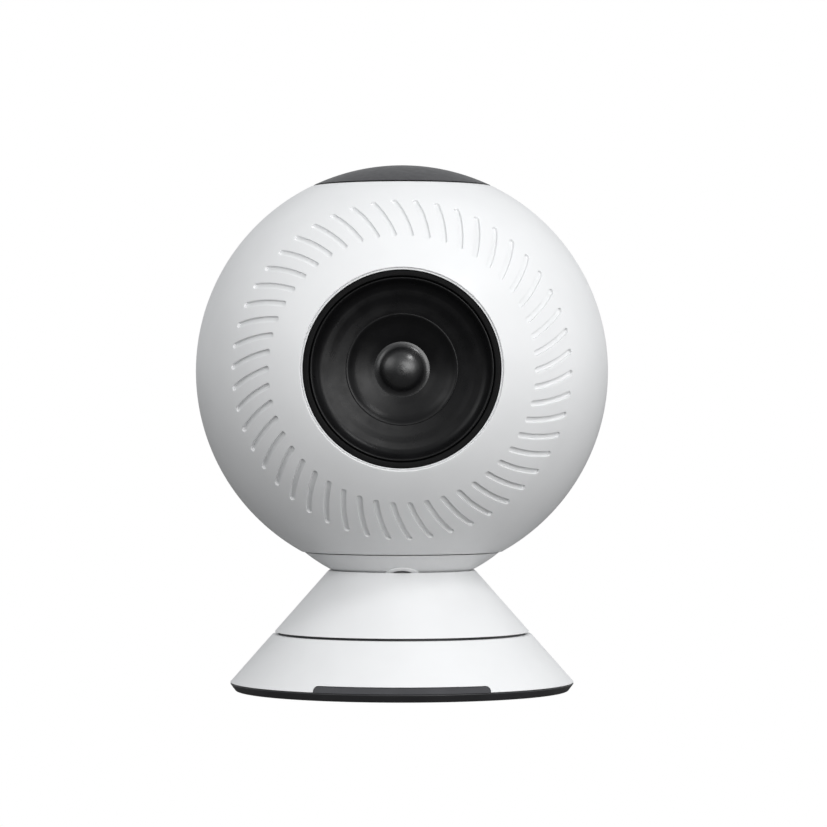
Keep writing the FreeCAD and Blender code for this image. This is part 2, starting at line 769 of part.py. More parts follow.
def surround():
    """A lip that stands forward, a steep wall, and a shallow basin that ends on the cone's rim."""
    back = "surround_thickness"
    floor = fuse(rod("basin_outer", "-basin_front", f"{back} - basin_front"),
                 horn("basin_outer", "basin_inner", f"{back} - basin_front", f"{back} - seat_front"))
    basin = cut(floor, horn("basin_outer", "basin_inner", "-basin_front", "-seat_front"),
                rod("surround_bore", -60, -40))
    wall = cut(horn("trim_bore - 0.1", "basin_outer + 0.5", "-surround_front", "-seat_front"),
               horn("surround_lip", "basin_outer", "-surround_front", "-basin_front"),
               rod("basin_outer - 0.3", "-basin_front - 0.1", -40))
    flange = collar_ring("trim_bore - 0.1", "basin_outer - 0.3", "-seat_front", "-flange_front - 0.05")
    return node("surround", fuse(basin, wall, flange))


def diaphragm():
    outer = horn("diaphragm_radius", "coil_radius + 0.3", "-flange_front + 0.1", "-cone_neck")
    inner = horn("diaphragm_radius - 0.9", "coil_radius - 0.6", "-flange_front + 0.1", "-cone_neck")
    neck = rod("coil_radius + 0.02", -60, -40)
    node("speaker_cone", cut(outer, inner, neck))
    dome = both(ball_at("dome_radius", "-dome_centre"), rod("skirt_radius", -60, "-cone_neck"))
    skirt = collar_ring("skirt_radius", "dome_radius - 1.2", "-cone_neck - 0.4", "-cone_neck")
    node("dust_cap", cut(fuse(dome, skirt), ball_at("dome_radius - 0.5", "-dome_centre")))
    node("coil_former", collar_ring("coil_radius", "coil_radius - 0.2", "-cone_neck - 0.2", -26.3))
    node("voice_coil", collar_ring("coil_radius + 0.6", "coil_radius + 0.01", -31.6, -26.4))


def spider():
    return node("spider", collar_ring(22.3, "coil_radius + 0.05", -38.1, -37.75))


def magnet():
    node("top_plate", collar_ring(21, 10.9, "-gap_front", "-gap_back"))
    node("ferrite_magnet", collar_ring("magnet_radius", 13, "-gap_back", "-magnet_back"))
    pole = rod(9.1, "-gap_front", "-magnet_back")
    node("yoke", fuse(pole, rod(21, "-magnet_back", "-yoke_back")))


def acoustic_can():
    front = "-flange_back + 0.6"
    wall = collar_ring("can_radius", "can_radius - can_wall", front, "-magnet_back + 2")
    back = collar_ring("can_radius", 21.2, "-magnet_back + 0.05", "-magnet_back + 2")
    leads = [rod(1, -20, -10, x, 127) for x in (-3, 3)]
    node("acoustic_can", cut(fuse(wall, back), *leads))
    node("can_gasket", collar_ring("can_radius", "can_radius - can_wall", "-flange_back", front))


def terminals():
    node("terminal_strip", block(-6, 6, "-gap_front + 0.05", -27.5, 122.3, 128.5))
    leads = [rod(0.8, -27.4, "board_front - 0.1", x, 127) for x in (-3, 3)]
    node("driver_leads", fuse(*leads))


def main_board():
    back = "board_front + board_thickness"
    board = block(-36, 36, "board_front", back, 78, 132)
    holes = [rod("screw_radius + 0.2", "board_front", back, x, z) for x, z in board_screw_places()]
    node("main_board", cut(board, *holes))
    heads = [rod("screw_head_radius", "board_front - screw_head_height", "board_front", x, z)
             for x, z in board_screw_places()]
    shafts = [rod("screw_radius", "board_front - 0.1", 32, x, z) for x, z in board_screw_places()]
    node("board_screws", fuse(*heads, *shafts))
    cans = [block(left, left + 18, back, back + " + 2.4", 104, 122) for left in (-26, 6)]
    node("shield_cans", fuse(*cans))
    node("amplifier_sink", block(-11, 11, "board_front - 6", "board_front", 92, 108))
    node("board_connector", block(-5, 5, "board_front - 5", "board_front", 79, 85))
    capacitors = [rod(3.2, back, back + " + 8", x, 88) for x in (-20, -11, 11, 20)]
    node("capacitors", fuse(*capacitors))


def build_driver():
    trim_ring()
    basket()
    driver_screws()
    surround()
    diaphragm()
    spider()
    magnet()
    acoustic_can()
    terminals()
    main_board()


# ---------------------------------------------------------------- build and export


SETS = {"base_screws": 4, "power_board_screws": 2, "cone_screws": 4, "post_screws": 4, "bracket_screws": 4,
        "tilt_bracket": 2, "tilt_washers": 2, "tilt_spring_washers": 2, "shell_screws": 4, "screw_plugs": 4,
        "driver_screws": 4, "driver_leads": 2, "board_screws": 4, "shield_cans": 2, "capacitors": 4,
        "microphones": 4, "touch_lights": 6, "status_light": 2}


def check(shape):
    """Stop at a sub-part that is broken or empty, or is in more pieces than it should be."""
    if "Invalid" in shape.State or "Error" in shape.State:
        raise RuntimeError(shape.Label + " did not rebuild")
    if shape.Shape.isNull() or not shape.Shape.isValid():
        raise RuntimeError(shape.Label + " is not a valid shape")
    if len(shape.Shape.Solids) != SETS.get(shape.Label, 1):
        raise RuntimeError(f"{shape.Label} is in {len(shape.Shape.Solids)} pieces")


build_base()
build_turntable()
build_head()
build_driver()
doc.recompute()
for item in doc.Objects:
    if "Invalid" in item.State or "Error" in item.State:
        raise RuntimeError(item.Label + " did not rebuild")
os.makedirs("parts", exist_ok=True)
for item in NODES:
    check(item)
    item.Shape.exportStep("parts/" + item.Label + ".step")
    box = item.Shape.BoundBox
    print(item.Label, len(item.Shape.Solids), round(item.Shape.Volume, 1),
          [round(v, 2) for v in (box.XMin, box.YMin, box.ZMin, box.XMax, box.YMax, box.ZMax)])
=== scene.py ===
import json
import math

import bmesh
import bpy
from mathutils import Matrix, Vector

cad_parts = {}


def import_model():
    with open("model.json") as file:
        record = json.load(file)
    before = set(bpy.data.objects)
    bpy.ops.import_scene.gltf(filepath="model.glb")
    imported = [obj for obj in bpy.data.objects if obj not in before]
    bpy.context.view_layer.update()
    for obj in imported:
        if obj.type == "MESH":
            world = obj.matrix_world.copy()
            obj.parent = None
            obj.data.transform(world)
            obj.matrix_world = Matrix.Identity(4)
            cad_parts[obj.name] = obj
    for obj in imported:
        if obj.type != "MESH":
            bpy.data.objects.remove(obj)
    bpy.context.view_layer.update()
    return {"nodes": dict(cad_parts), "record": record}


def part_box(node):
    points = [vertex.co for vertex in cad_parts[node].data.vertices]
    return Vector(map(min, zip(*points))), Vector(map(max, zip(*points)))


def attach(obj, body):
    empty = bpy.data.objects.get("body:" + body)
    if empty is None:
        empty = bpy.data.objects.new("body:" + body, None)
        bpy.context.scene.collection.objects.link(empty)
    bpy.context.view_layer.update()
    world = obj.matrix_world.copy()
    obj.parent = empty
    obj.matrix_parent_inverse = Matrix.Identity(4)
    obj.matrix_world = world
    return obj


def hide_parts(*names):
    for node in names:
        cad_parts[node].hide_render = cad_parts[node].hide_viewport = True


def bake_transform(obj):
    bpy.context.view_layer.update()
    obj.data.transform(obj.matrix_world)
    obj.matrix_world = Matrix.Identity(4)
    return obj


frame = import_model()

MM = 0.001
NODES = frame["nodes"]


def low(node, axis):
    """A CAD node's lowest reach along an axis, in millimetres."""
    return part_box(node)[0][axis] / MM


def high(node, axis):
    """A CAD node's highest reach along an axis, in millimetres."""
    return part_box(node)[1][axis] / MM


# ---------------------------------------------------------------- sizes, in millimetres, some read from the frame

BALL_R = round(high("rear_shell", 1), 1)
BALL_Z = round(high("top_cap", 2), 1) - BALL_R
BALL_CENTRE = (0, 0, BALL_Z)
WALL = 2.5
SCREW_SIDE = 46.0
SCREW_RISE = 25.0
PLUG_R = 3.5
CAP_CUT = high("front_shell", 2)
CAP_GAP = 0.45
COLLAR_SEAM = low("front_shell", 2)
SEAM_LINE = 0.16
MOUTH_R = 29.9
TRIM_R = 29.75
TRIM_FRONT = low("trim_ring", 1)
SEAT_Y = high("trim_ring", 1)
RIM_Z = low("lower_cone", 2)
RIM_R = 54.2
PLATE_Z = low("base_plate", 2)
WINDOW_TOP = 5.1
WINDOW_HALF = 27.0
WINDOW_CORNER = 1.7
FACE_HALF = 7.5
FACE_LOW = 4.6
PLATE_R = 52.5
FOOT_R = 46.0
SEAM_LOW = high("lower_cone", 2)
SEAM_HIGH = low("upper_cone", 2)
CONE_TOP_R = 22.7
CONE_TOP_Z = 38.8
CONE_SLOPE = (RIM_R - CONE_TOP_R) / (CONE_TOP_Z - RIM_Z)
CONE_WALL = 3.2
TILT_Z = 81.8
COLLAR_R = 48.7
DISH_R = 49.25
SLOT_END = 24.9
SLOT_HALF = 3.7
LIP_HALF = 5.3
LIP_RISE = 0.4
GROOVES = 50
GROOVE_HALF = 0.86
GROOVE_DEPTH = 0.85
GROOVE_INNER = 39.0
GROOVE_OUTER = 52.4
GROOVE_PHASE = 4.6
GROOVE_SWEEP = 6.42
GROOVE_BOW = 0.19


# ---------------------------------------------------------------- mesh tools


def smooth(mesh, angle):
    """Smooth shading with sharp edges where the faces turn by more than an angle."""
    mesh.polygons.foreach_set("use_smooth", [True] * len(mesh.polygons))
    mesh.set_sharp_from_angle(angle=math.radians(angle))


def finish_piece(name, mesh, body, slot, replaced=(), angle=32, look=None):
    """Put a finished mesh in the scene as one piece, with its slot's look unless another is named."""
    smooth(mesh, angle)
    piece = bpy.data.objects.new(name, mesh)
    bpy.context.scene.collection.objects.link(piece)
    mesh.materials.append(LOOKS[look or slot])
    if body:
        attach(piece, body)
    if replaced:
        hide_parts(*replaced)
    return piece


def mesh_from(verts, faces):
    """A mesh from points in millimetres."""
    mesh = bpy.data.meshes.new("form")
    mesh.from_pydata([[c * MM for c in v] for v in verts], [], faces)
    mesh.update()
    bm = bmesh.new()
    bm.from_mesh(mesh)
    bmesh.ops.remove_doubles(bm, verts=bm.verts, dist=1e-7)
    bmesh.ops.recalc_face_normals(bm, faces=bm.faces)
    bm.to_mesh(mesh)
    bm.free()
    return mesh


class Skin:
    """Points in millimetres and the faces between them, put down ring by ring."""

    def __init__(self):
        self.verts = []
        self.faces = []

    def ring(self, spots):
        """Add a ring of points, and say which number it starts at."""
        first = len(self.verts)
        self.verts.extend(spots)
        return first

    def stitch(self, a, b, count):
        """Join two rings that have the same count of points."""
        for k in range(count):
            n = (k + 1) % count
            self.faces.append((a + k, a + n, b + n, b + k))

    def stitch_all(self, rows, count):
        """Join each ring to the next."""
        for a, b in zip(rows, rows[1:]):
            self.stitch(a, b, count)

    def mesh(self):
        return mesh_from(self.verts, self.faces)


def rounded(points, steps=5):
    """A closed outline whose corners (across, along, radius) are rounded by their radius."""
    outline = []
    count = len(points)
    for i, point in enumerate(points):
        here = Vector(point[:2])
        radius = point[2] if len(point) > 2 else 0
        before = Vector(points[i - 1][:2]) - here
        after = Vector(points[(i + 1) % count][:2]) - here
        if radius <= 0:
            outline.append(tuple(here))
            continue
        half = before.angle(after) / 2
        reach = min(radius / math.tan(half), before.length * 0.49, after.length * 0.49)
        start = here + before.normalized() * reach
        end = here + after.normalized() * reach
        for k in range(steps + 1):
            share = k / steps
            a = start.lerp(here, share)
            b = here.lerp(end, share)
            outline.append(tuple(a.lerp(b, share)))
    return outline


def spin(outline, axis, columns, centre=(0, 0, 0)):
    """Turn a closed outline of (radius, place along the axis) round Y or Z through a centre."""
    skin = Skin()
    rows = []
    for radius, along in outline:
        spots = []
        for j in range(columns):
            turn = 2 * math.pi * j / columns
            a = radius * math.cos(turn)
            b = radius * math.sin(turn)
            spot = (a, b, along) if axis == "Z" else (a, along, b)
            spots.append([spot[k] + centre[k] for k in range(3)])
        rows.append(skin.ring(spots))
    skin.stitch_all([*rows, rows[0]], columns)
    return skin.mesh()


def lathe(name, points, body, slot, replaced, columns=192):
    """A turned piece round the upright axis, from a closed outline with rounded corners."""
    return finish_piece(name, spin(rounded(points), "Z", columns), body, slot, replaced)


def arc(centre, radius, start, end, steps):
    """Points of an arc between two angles, in degrees."""
    spots = []
    for k in range(steps + 1):
        turn = math.radians(start + (end - start) * k / steps)
        spots.append((centre[0] + radius * math.cos(turn), centre[1] + radius * math.sin(turn)))
    return spots


def bowl(radius, start, end, steps, height=0.0):
    """Points of an arc round a centre at a height, between two angles from straight down, in degrees."""
    spots = []
    for k in range(steps + 1):
        lean = math.radians(start + (end - start) * k / steps)
        spots.append((radius * math.sin(lean), height - radius * math.cos(lean)))
    return spots


def carved(mesh, cutters):
    """The mesh with the cutters' forms taken out of it."""
    base = bpy.data.objects.new("carve", mesh)
    bpy.context.scene.collection.objects.link(base)
    tools = []
    for cutter in cutters:
        tool = bpy.data.objects.new("cutter", cutter)
        bpy.context.scene.collection.objects.link(tool)
        tools.append(tool)
        step = base.modifiers.new("cut", "BOOLEAN")
        step.operation = "DIFFERENCE"
        step.solver = "EXACT"
        step.object = tool
    bpy.context.view_layer.update()
    depsgraph = bpy.context.evaluated_depsgraph_get()
    result = bpy.data.meshes.new_from_object(base.evaluated_get(depsgraph))
    for made in [base, *tools]:
        bpy.data.objects.remove(made)
    return result


def bar_faces(count):
    """The faces of a bar: its two ends, and one side for each point of its outline."""
    sides = [(i, (i + 1) % count, count + (i + 1) % count, count + i) for i in range(count)]
    return [tuple(range(count)), tuple(range(count, 2 * count)), *sides]


def prism(outline, low_end, high_end, axis):
    """A straight bar with the given outline, along Y or Z."""
    ends = (low_end, high_end)
    verts = [(a, end, b) if axis == "Y" else (a, b, end) for end in ends for a, b in outline]
    return mesh_from(verts, bar_faces(len(outline)))


# ---------------------------------------------------------------- materials


class Shader:
    """A node material under a Principled shader, built a few nodes at a time."""

    def __init__(self, name, colour, roughness, **values):
        self.material = bpy.data.materials.new(name)
        self.material.use_nodes = True
        self.tree = self.material.node_tree
        self.shader = self.tree.nodes["Principled BSDF"]
        self.shader.inputs["Base Color"].default_value = (*colour, 1)
        self.shader.inputs["Roughness"].default_value = roughness
        for socket, value in values.items():
            self.shader.inputs[socket.replace("_", " ")].default_value = value
        self.place = self.tree.nodes.new("ShaderNodeTexCoord").outputs["Object"]

    def link(self, source, target):
        self.tree.links.new(source, target)

    def noise(self, scale, detail, stretch=None):
        """A noise field over the piece, its grain 1/scale metres wide."""
        node = self.tree.nodes.new("ShaderNodeTexNoise")
        node.inputs["Scale"].default_value = scale
        node.inputs["Detail"].default_value = detail
        place = self.place
        if stretch:
            mapping = self.tree.nodes.new("ShaderNodeMapping")
            mapping.inputs["Scale"].default_value = stretch
            self.link(self.place, mapping.inputs["Vector"])
            place = mapping.outputs["Vector"]
        self.link(place, node.inputs["Vector"])
        return node.outputs["Fac"]

    def ramp(self, value, low_share, high_share, low_colour, high_colour):
        """Colours spread between two shares of a field."""
        node = self.tree.nodes.new("ShaderNodeValToRGB")
        node.color_ramp.elements[0].position = low_share
        node.color_ramp.elements[1].position = high_share
        node.color_ramp.elements[0].color = (*low_colour, 1)
        node.color_ramp.elements[1].color = (*high_colour, 1)
        self.link(value, node.inputs["Fac"])
        return node.outputs["Color"]

    def tint(self, value, low_colour, high_colour, low_share=0.35, high_share=0.65):
        """The base colour drifts between two colours."""
        colours = self.ramp(value, low_share, high_share, low_colour, high_colour)
        self.link(colours, self.shader.inputs["Base Color"])
        return self

    def gloss(self, value, low_rough, high_rough):
        """The roughness drifts between two values."""
        node = self.tree.nodes.new("ShaderNodeMapRange")
        node.inputs["To Min"].default_value = low_rough
        node.inputs["To Max"].default_value = high_rough
        node.inputs["From Min"].default_value = 0.3
        node.inputs["From Max"].default_value = 0.7
        self.link(value, node.inputs["Value"])
        self.link(node.outputs["Result"], self.shader.inputs["Roughness"])
        return self

    def bump(self, value, depth, strength=1.0):
        """A relief of the given depth in metres."""
        node = self.tree.nodes.new("ShaderNodeBump")
        node.inputs["Strength"].default_value = strength
        node.inputs["Distance"].default_value = depth
        self.link(value, node.inputs["Height"])
        self.link(node.outputs["Normal"], self.shader.inputs["Normal"])
        return self


def white_plastic():
    """Moulded white plastic with a very fine spark texture."""
    look = Shader("white_plastic", (0.78, 0.785, 0.79), 0.42, IOR=1.46)
    look.tint(look.noise(60, 2), (0.77, 0.775, 0.78), (0.79, 0.795, 0.80))
    look.gloss(look.noise(350, 2), 0.38, 0.47)
    return look.bump(look.noise(4200, 2), 0.000012, 0.5).material


def dark_plastic(name, dark, light, low_rough, high_rough, grain=3000, depth=0.00002, shine=0.5):
    """A dark moulded plastic, mottled a little."""
    look = Shader(name, dark, low_rough, Specular_IOR_Level=shine)
    look.tint(look.noise(90, 3), dark, light)
    look.gloss(look.noise(500, 2), low_rough, high_rough)
    return look.bump(look.noise(grain, 2), depth, 0.6).material


def rubber(name, dark, light, rough, shine=0.5):
    """Soft rubber with a dusty bloom."""
    look = Shader(name, dark, rough, Specular_IOR_Level=shine)
    look.tint(look.noise(140, 4), dark, light)
    look.gloss(look.noise(240, 3), rough - 0.05, rough + 0.07)
    return look.bump(look.noise(2600, 3), 0.00003, 0.5).material


def metal(name, dark, light, low_rough, high_rough, stretch=(1, 1, 14)):
    """Plated or cast metal with a faint brushed grain."""
    look = Shader(name, dark, low_rough, Metallic=1.0)
    look.tint(look.noise(700, 3, stretch=stretch), dark, light)
    look.gloss(look.noise(900, 2, stretch=stretch), low_rough, high_rough)
    return look.bump(look.noise(1500, 2, stretch=stretch), 0.00001, 0.4).material


def board():
    """A circuit board: solder mask over faint tracks."""
    look = Shader("board", (0.02, 0.12, 0.05), 0.35)
    look.tint(look.noise(260, 0, stretch=(1, 1, 6)), (0.015, 0.10, 0.04), (0.03, 0.18, 0.075), 0.48, 0.52)
    look.gloss(look.noise(400, 2), 0.28, 0.42)
    return look.bump(look.noise(900, 1), 0.00003, 0.5).material


def cloth(name, dark, light):
    """A pressed woven cloth."""
    look = Shader(name, dark, 0.8)
    wave = look.tree.nodes.new("ShaderNodeTexChecker")
    wave.inputs["Scale"].default_value = 1800
    look.link(look.place, wave.inputs["Vector"])
    look.tint(wave.outputs["Fac"], dark, light)
    return look.bump(wave.outputs["Fac"], 0.0001, 0.7).material


LOOKS = {
    "white_shell": white_plastic(),
    "dark_cap": dark_plastic("dark_cap", (0.030, 0.030, 0.033), (0.037, 0.037, 0.040), 0.36, 0.44),
    "dark_window": dark_plastic("dark_window", (0.045, 0.045, 0.049), (0.055, 0.055, 0.06), 0.16, 0.22,
                                900, 0.000004),
    "dark_plate": dark_plastic("dark_plate", (0.020, 0.020, 0.022), (0.028, 0.028, 0.030), 0.40, 0.50),
    "black_ring": dark_plastic("black_ring", (0.002, 0.002, 0.0022), (0.004, 0.004, 0.0042), 0.42, 0.52,
                               shine=0.1),
    "black_plastic": dark_plastic("black_plastic", (0.02, 0.02, 0.021), (0.03, 0.03, 0.032), 0.45, 0.6),
    "foot_rubber": rubber("foot_rubber", (0.018, 0.018, 0.018), (0.03, 0.03, 0.031), 0.7),
    "cone_black": rubber("cone_black", (0.002, 0.002, 0.0023), (0.003, 0.003, 0.0034), 0.33, 0.24),
    "dome_black": rubber("dome_black", (0.004, 0.004, 0.0045), (0.006, 0.006, 0.0066), 0.30, 0.75),
    "surround_rubber": rubber("surround_rubber", (0.002, 0.002, 0.0023), (0.003, 0.003, 0.0034), 0.31, 0.2),
    "spider_cloth": cloth("spider_cloth", (0.30, 0.20, 0.07), (0.40, 0.28, 0.10)),
    "steel": metal("steel", (0.50, 0.50, 0.51), (0.62, 0.62, 0.63), 0.25, 0.38),
    "ferrite": rubber("ferrite", (0.03, 0.03, 0.032), (0.06, 0.06, 0.062), 0.62),
    "aluminium": metal("aluminium", (0.60, 0.60, 0.62), (0.72, 0.72, 0.74), 0.35, 0.5, (1, 1, 1)),
    "brass": metal("brass", (0.62, 0.44, 0.16), (0.74, 0.55, 0.24), 0.2, 0.34),
    "copper_wire": metal("copper_wire", (0.50, 0.16, 0.05), (0.66, 0.26, 0.09), 0.22, 0.34, (1, 20, 1)),
    "board_green": board(),
    "part_black": dark_plastic("part_black", (0.025, 0.025, 0.027), (0.04, 0.04, 0.042), 0.4, 0.55),
    "light_lens": dark_plastic("light_lens", (0.68, 0.69, 0.62), (0.74, 0.75, 0.70), 0.12, 0.2),
    "cable_grey": rubber("cable_grey", (0.03, 0.03, 0.032), (0.05, 0.05, 0.052), 0.6),
    "felt_grey": cloth("felt_grey", (0.04, 0.04, 0.042), (0.06, 0.06, 0.063)),
    "nylon": dark_plastic("nylon", (0.60, 0.59, 0.52), (0.68, 0.67, 0.60), 0.35, 0.5),
}


def paint_cad():
    """Give every CAD node the look of its slot."""
    for part in frame["record"]["subparts"]:
        node = NODES[part["node"]]
        for place in node.material_slots:
            place.material = LOOKS[part["material_slot"]]


# ---------------------------------------------------------------- the front shell and its grooves

# The mouth's edge from the outside in: a small round, a fine groove, and a thin inner lip.
MOUTH_EDGE = [(0.86, -0.06), (0.74, -0.02), (0.66, 0.08), (0.62, 0.3), (0.60, 0.62), (0.36, 0.62), (0.34, 0.3),
              (0.30, 0.2), (0.22, 0.15), (0.08, 0.16), (0.02, 0.22), (0.0, 0.36)]
MOUTH_ROUND = 1.02
SEAT_R = 37.2
SIDE_STEPS = 14
END_STEPS = 10
CELL_COLUMNS = 4
CELL = 360 / GROOVES
BAND_START = (37.35 - GROOVE_INNER) / (GROOVE_OUTER - GROOVE_INNER)
BAND_END = (53.75 - GROOVE_INNER) / (GROOVE_OUTER - GROOVE_INNER)
# The way down into a groove: how much wider its outline is, and how deep that outline lies.
GROOVE_LIPS = [(0.16, 0.0), (0.08, 0.008), (0.025, 0.035), (0.0, 0.09), (-0.01, GROOVE_DEPTH - 0.14),
               (-0.04, GROOVE_DEPTH - 0.04), (-0.12, GROOVE_DEPTH)]


def groove_spot(along, offset=0.0):
    """Degrees off the driver's axis and clockwise from the top, along a groove's middle line."""
    lean = GROOVE_INNER + along * (GROOVE_OUTER - GROOVE_INNER)
    bowed = along - 4 * GROOVE_BOW / GROOVE_SWEEP * along * (1 - along)
    return lean, GROOVE_PHASE + GROOVE_SWEEP * (1 - bowed) + offset


def aim(lean, turn):
    """The direction from the ball's centre at those two angles."""
    a = math.radians(lean)
    b = math.radians(turn)
    return Vector((math.sin(a) * math.sin(b), -math.cos(a), math.sin(a) * math.cos(b)))


def groove_station(along, turn):
    """A spot on a groove's middle line, the way along the groove, and the way across it."""
    here = aim(*groove_spot(along, turn))
    ahead = aim(*groove_spot(along + 0.01, turn)) - aim(*groove_spot(along - 0.01, turn))
    ahead.normalize()
    return here, ahead, here.cross(ahead)


def groove_ring(grow, turn):
    """Directions round a groove at half its width plus a margin, in order from the inner end."""
    ring = []
    for start, end in ((0, 1), (1, 0)):
        reach = (GROOVE_HALF + grow) / BALL_R * (end - start)
        for k in range(SIDE_STEPS):
            here, ahead, side = groove_station(start + (end - start) * k / SIDE_STEPS, turn)
            ring.append(here + side * reach)
        here, ahead, side = groove_station(end, turn)
        for k in range(END_STEPS):
            bend = math.pi * k / END_STEPS
            ring.append(here + side * (reach * math.cos(bend)) + ahead * (reach * math.sin(bend)))
    return [d.normalized() for d in ring]


def cell_ring(turn):
    """Directions round the patch that holds one groove, matched to groove_ring."""
    spread = (END_STEPS - CELL_COLUMNS) // 2
    rise = SIDE_STEPS + 2 * spread
    right = first_side(turn)

    def side(share, way):
        lean, angle = groove_spot(BAND_START + (BAND_END - BAND_START) * share, turn)
        return aim(lean, angle + way * CELL / 2)

    def across(along, share):
        lean, angle = groove_spot(along, turn)
        return aim(lean, angle + (share - 0.5) * CELL)

    ring = [side(k / rise, right) for k in range(spread, rise)]
    ring += [across(BAND_END, 0.5 + right * (0.5 - k / CELL_COLUMNS)) for k in range(CELL_COLUMNS)]
    ring += [side(1 - k / rise, -right) for k in range(rise)]
    ring += [across(BAND_START, 0.5 - right * (0.5 - k / CELL_COLUMNS)) for k in range(CELL_COLUMNS)]
    ring += [side(k / rise, right) for k in range(spread)]
    return ring


def first_side(turn):
    """1 if a groove's first side lies clockwise of its middle line, else -1."""
    here = aim(*groove_spot(0.5, turn))
    ahead = aim(*groove_spot(0.51, turn)) - here
    clockwise = aim(*groove_spot(0.5, turn + 1)) - here
    return 1 if here.cross(ahead).dot(clockwise) > 0 else -1


def ball_spots(directions, radius):
    """The points at a radius from the ball's centre in each direction."""
    return [[d.x * radius, d.y * radius, d.z * radius + BALL_Z] for d in directions]


def groove_cell(skin, turn):
    """One groove, its floor, and the patch of ball round it."""
    edge = cell_ring(turn)
    lip = groove_ring(GROOVE_LIPS[0][0], turn)
    rows = [skin.ring(ball_spots(edge, BALL_R))]
    for share in (0.35, 0.7):
        between = [a.lerp(b, share).normalized() for a, b in zip(edge, lip)]
        rows.append(skin.ring(ball_spots(between, BALL_R)))
    for grow, sink in GROOVE_LIPS:
        rows.append(skin.ring(ball_spots(groove_ring(grow, turn), BALL_R - sink)))
    count = len(edge)
    skin.stitch_all(rows, count)
    tip = SIDE_STEPS + END_STEPS // 2
    for m in range(count // 2):
        ring = [rows[-1] + (tip + k) % count for k in (-m, m, m + 1, -m - 1)]
        skin.faces.append(tuple(dict.fromkeys(ring)))


def hoop(skin, radius, depth, twist):
    """A ring of points round the driver's axis, twisted to meet the grooves' patches."""
    spots = []
    for j in range(GROOVES * CELL_COLUMNS):
        turn = math.radians(twist - CELL / 2 + j * CELL / CELL_COLUMNS)
        spots.append([radius * math.sin(turn), depth, radius * math.cos(turn) + BALL_Z])
    return skin.ring(spots)


def mouth_profile(lean):
    """From a lean on the ball, over the mouth's edge, to the driver's seat."""
    edge_lean = math.degrees(math.asin((MOUTH_R + MOUTH_ROUND) / BALL_R))
    profile = bowl(BALL_R, lean, edge_lean, 9)
    front = profile[-1][1]
    profile += [(MOUTH_R + out, front + down) for out, down in MOUTH_EDGE]
    return [*profile, (MOUTH_R, SEAT_Y)]


def side_profile(lean):
    """From a lean on the ball to the shell's softened rear edge."""
    profile = bowl(BALL_R, lean, 90, 24)
    return [*profile[:-1], (BALL_R, -0.12), (BALL_R - 0.12, 0.0)]


def inside_profile():
    """From the shell's rear edge, along its inside, to the driver's seat."""
    inside = BALL_R - WALL
    seat_lean = math.degrees(math.asin(SEAT_R / inside))
    return [(inside, 0.0), *bowl(inside, 90, seat_lean, 12)[1:], (SEAT_R, SEAT_Y)]


def front_shell():
    """The front half of the ball: a ring of fifty blind grooves round the driver's opening."""
    skin = Skin()
    for n in range(GROOVES):
        groove_cell(skin, n * CELL)
    columns = GROOVES * CELL_COLUMNS
    inner_lean, inner_twist = groove_spot(BAND_START)
    outer_lean, outer_twist = groove_spot(BAND_END)
    front_rows = [hoop(skin, r, y, inner_twist) for r, y in mouth_profile(inner_lean)]
    skin.stitch_all(front_rows, columns)
    back_rows = [hoop(skin, r, y, outer_twist) for r, y in side_profile(outer_lean)]
    inside = inside_profile()
    for k, (r, y) in enumerate(inside, start=1):
        back_rows.append(hoop(skin, r, y, outer_twist + (inner_twist - outer_twist) * k / len(inside)))
    skin.stitch_all(back_rows, columns)
    skin.stitch(back_rows[-1], front_rows[-1], columns)
    mesh = skin.mesh()
    trim_ball(mesh)
    return finish_piece("front_shell_moulding", mesh, "head", "white_shell", ["front_shell"])


def trim_flat(mesh, height, way):
    """Cut the mesh off above (way 1) or below (way -1) a height, and close the cut."""
    bm = bmesh.new()
    bm.from_mesh(mesh)
    geometry = [*bm.verts, *bm.edges, *bm.faces]
    bmesh.ops.bisect_plane(bm, geom=geometry, dist=1e-8, plane_co=(0, 0, height * MM),
                           plane_no=(0, 0, way), clear_outer=True)
    edges = [e for e in bm.edges if e.is_boundary]
    bmesh.ops.holes_fill(bm, edges=edges, sides=0)
    bmesh.ops.recalc_face_normals(bm, faces=bm.faces)
    bm.to_mesh(mesh)
    bm.free()


def trim_ball(mesh):
    """Cut the ball flat under the top cap and over the collar."""
    trim_flat(mesh, CAP_CUT, 1)
    trim_flat(mesh, COLLAR_SEAM + SEAM_LINE, -1)


# ---------------------------------------------------------------- the rear shell and the top cap


def screw_places():
    """Where the four shell screws are, on both sides of the driver's axis, over and under it."""
    return [(a * SCREW_SIDE, BALL_Z + b * SCREW_RISE) for a in (-1, 1) for b in (-1, 1)]


def rear_shell():
    """The rear half of the ball, with four sunk screw holes."""
    gap = 0.15
    inside = BALL_R - WALL
    outline = [(math.sqrt(BALL_R ** 2 - gap ** 2) - 0.12, gap)]
    outline += arc((0, 0), BALL_R, 0.35, 90, 46)
    outline += arc((0, 0), inside, 90, 0.4, 20)
    outline.append((inside, gap))
    mesh = spin(outline, "Y", 200, centre=BALL_CENTRE)
    hole = [(0, 30), (PLUG_R + 0.1, 30), (PLUG_R + 0.1, 70), (0, 70)]
    mesh = carved(mesh, [spin(hole, "Y", 48, centre=(x, 0, z)) for x, z in screw_places()])
    trim_ball(mesh)
    return finish_piece("rear_shell_moulding", mesh, "head", "white_shell", ["rear_shell"])


